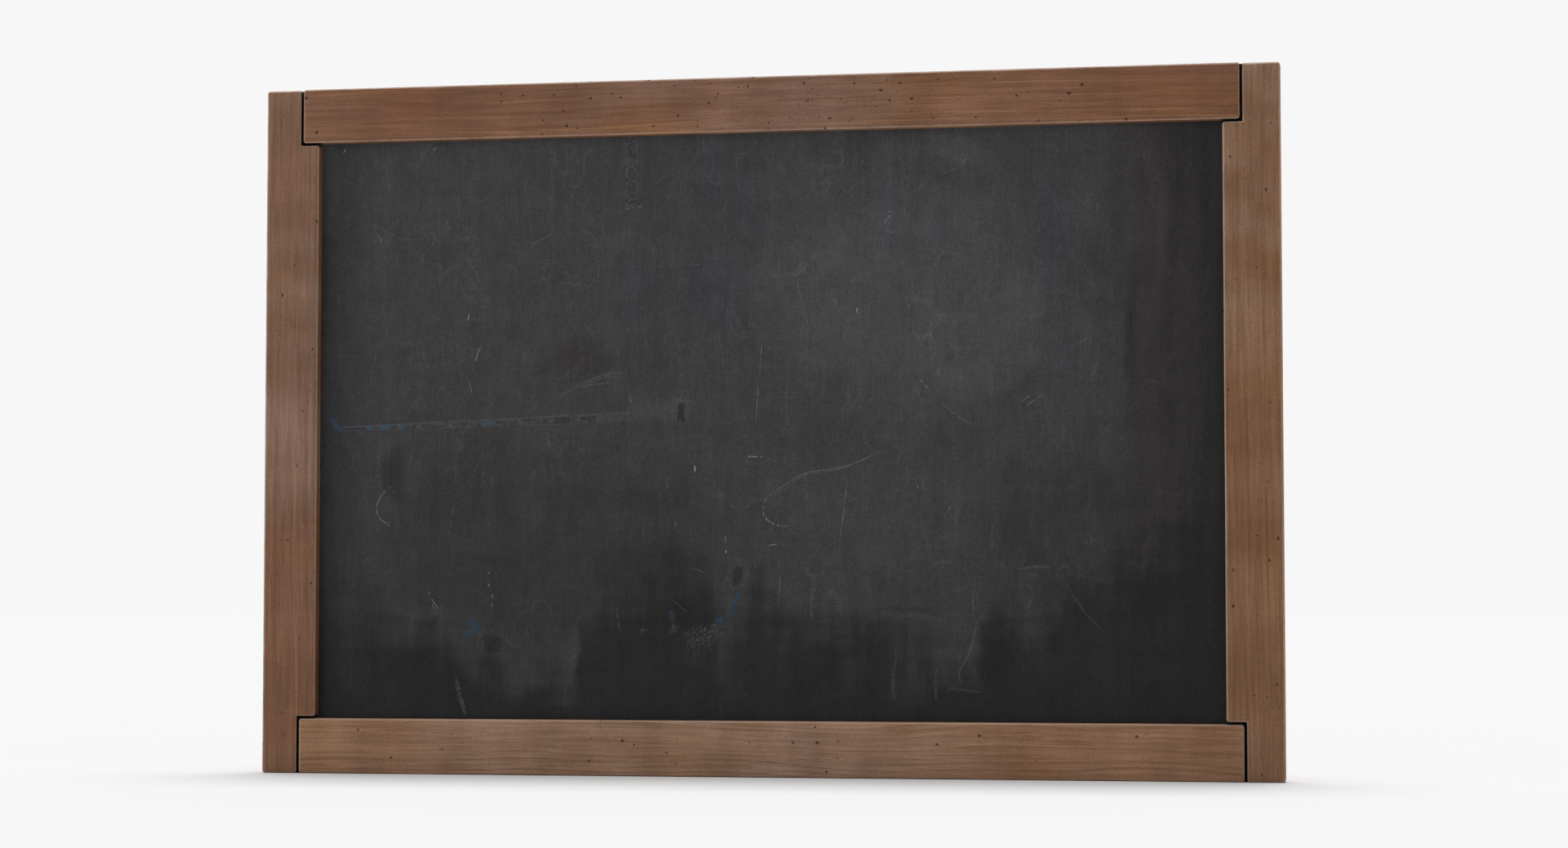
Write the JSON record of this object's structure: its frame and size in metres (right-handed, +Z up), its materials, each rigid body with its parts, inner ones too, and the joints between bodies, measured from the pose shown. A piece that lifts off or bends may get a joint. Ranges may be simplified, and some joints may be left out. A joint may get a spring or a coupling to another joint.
{
  "type": "chalkboard",
  "caption": "Framed chalkboard: dark writing panel set in a wooden frame with stepped half-lap corners, held by turn buttons, with ring hangers on the back.",
  "frame": {"origin": "middle of the bottom rail's underside, in the plane where the lip ends and the rebate starts", "axes": "+X along the rails to the right as seen from the front, +Y to the back, +Z up"},
  "size_m": [0.9, 0.0263, 0.61],
  "materials": {
    "frame_wood": "stained brown wood with open grain, satin, worn arrises",
    "panel_paint": "charcoal chalkboard paint on board, satin, with chalk and tape traces",
    "backing_fibreboard": "bare brown fibreboard",
    "plated_steel": "zinc plated sheet and wire",
    "screw_steel": "yellow zinc plated",
    "bumper_rubber": "matt black"
  },
  "bodies": {
    "board": {"left_stile": "frame_wood", "right_stile": "frame_wood", "top_rail": "frame_wood", "bottom_rail": "frame_wood", "writing_panel": "panel_paint", "backing_board": "backing_fibreboard", "lap_screw_bottom_left_outer": "screw_steel", "lap_screw_bottom_left_inner": "screw_steel", "lap_screw_bottom_right_outer": "screw_steel", "lap_screw_bottom_right_inner": "screw_steel", "lap_screw_top_left_outer": "screw_steel", "lap_screw_top_left_inner": "screw_steel", "lap_screw_top_right_outer": "screw_steel", "lap_screw_top_right_inner": "screw_steel", "turn_button_screw_bottom_left": "screw_steel", "turn_button_screw_bottom_middle": "screw_steel", "turn_button_screw_bottom_right": "screw_steel", "turn_button_screw_top_left": "screw_steel", "turn_button_screw_top_middle": "screw_steel", "turn_button_screw_top_right": "screw_steel", "turn_button_screw_left_lower": "screw_steel", "turn_button_screw_left_upper": "screw_steel", "turn_button_screw_right_lower": "screw_steel", "turn_button_screw_right_upper": "screw_steel", "hanger_strap_left": "plated_steel", "hanger_strap_right": "plated_steel", "hanger_screw_left_upper": "screw_steel", "hanger_screw_left_lower": "screw_steel", "hanger_screw_right_upper": "screw_steel", "hanger_screw_right_lower": "screw_steel", "wall_bumper_left": "bumper_rubber", "wall_bumper_right": "bumper_rubber"},
    "button_bottom_left": {"turn_button_bottom_left": "plated_steel"},
    "button_bottom_middle": {"turn_button_bottom_middle": "plated_steel"},
    "button_bottom_right": {"turn_button_bottom_right": "plated_steel"},
    "button_top_left": {"turn_button_top_left": "plated_steel"},
    "button_top_middle": {"turn_button_top_middle": "plated_steel"},
    "button_top_right": {"turn_button_top_right": "plated_steel"},
    "button_left_lower": {"turn_button_left_lower": "plated_steel"},
    "button_left_upper": {"turn_button_left_upper": "plated_steel"},
    "button_right_lower": {"turn_button_right_lower": "plated_steel"},
    "button_right_upper": {"turn_button_right_upper": "plated_steel"},
    "ring_left": {"hanger_ring_left": "plated_steel"},
    "ring_right": {"hanger_ring_right": "plated_steel"}
  },
  "joints": [
    {"name": "button_bottom_left_turn", "type": "hinge", "parent": "board", "child": "button_bottom_left", "pos_m": [-0.29, 0.0109, 0.0226], "axis": [0, 1, 0], "continuous": true},
    {"name": "button_bottom_middle_turn", "type": "hinge", "parent": "board", "child": "button_bottom_middle", "pos_m": [0, 0.0109, 0.0226], "axis": [0, 1, 0], "continuous": true},
    {"name": "button_bottom_right_turn", "type": "hinge", "parent": "board", "child": "button_bottom_right", "pos_m": [0.29, 0.0109, 0.0226], "axis": [0, 1, 0], "continuous": true},
    {"name": "button_top_left_turn", "type": "hinge", "parent": "board", "child": "button_top_left", "pos_m": [-0.29, 0.0109, 0.5874], "axis": [0, 1, 0], "continuous": true},
    {"name": "button_top_middle_turn", "type": "hinge", "parent": "board", "child": "button_top_middle", "pos_m": [0, 0.0109, 0.5874], "axis": [0, 1, 0], "continuous": true},
    {"name": "button_top_right_turn", "type": "hinge", "parent": "board", "child": "button_top_right", "pos_m": [0.29, 0.0109, 0.5874], "axis": [0, 1, 0], "continuous": true},
    {"name": "button_left_lower_turn", "type": "hinge", "parent": "board", "child": "button_left_lower", "pos_m": [-0.4269, 0.0109, 0.205], "axis": [0, 1, 0], "continuous": true},
    {"name": "button_left_upper_turn", "type": "hinge", "parent": "board", "child": "button_left_upper", "pos_m": [-0.4269, 0.0109, 0.405], "axis": [0, 1, 0], "continuous": true},
    {"name": "button_right_lower_turn", "type": "hinge", "parent": "board", "child": "button_right_lower", "pos_m": [0.4269, 0.0109, 0.205], "axis": [0, 1, 0], "continuous": true},
    {"name": "button_right_upper_turn", "type": "hinge", "parent": "board", "child": "button_right_upper", "pos_m": [0.4269, 0.0109, 0.405], "axis": [0, 1, 0], "continuous": true},
    {"name": "ring_left_swing", "type": "hinge", "parent": "board", "child": "ring_left", "pos_m": [-0.43395, 0.0131, 0.48], "axis": [1, 0, 0], "range_deg": [0, 180]},
    {"name": "ring_right_swing", "type": "hinge", "parent": "board", "child": "ring_right", "pos_m": [0.43395, 0.0131, 0.48], "axis": [1, 0, 0], "range_deg": [0, 180]}
  ]
}
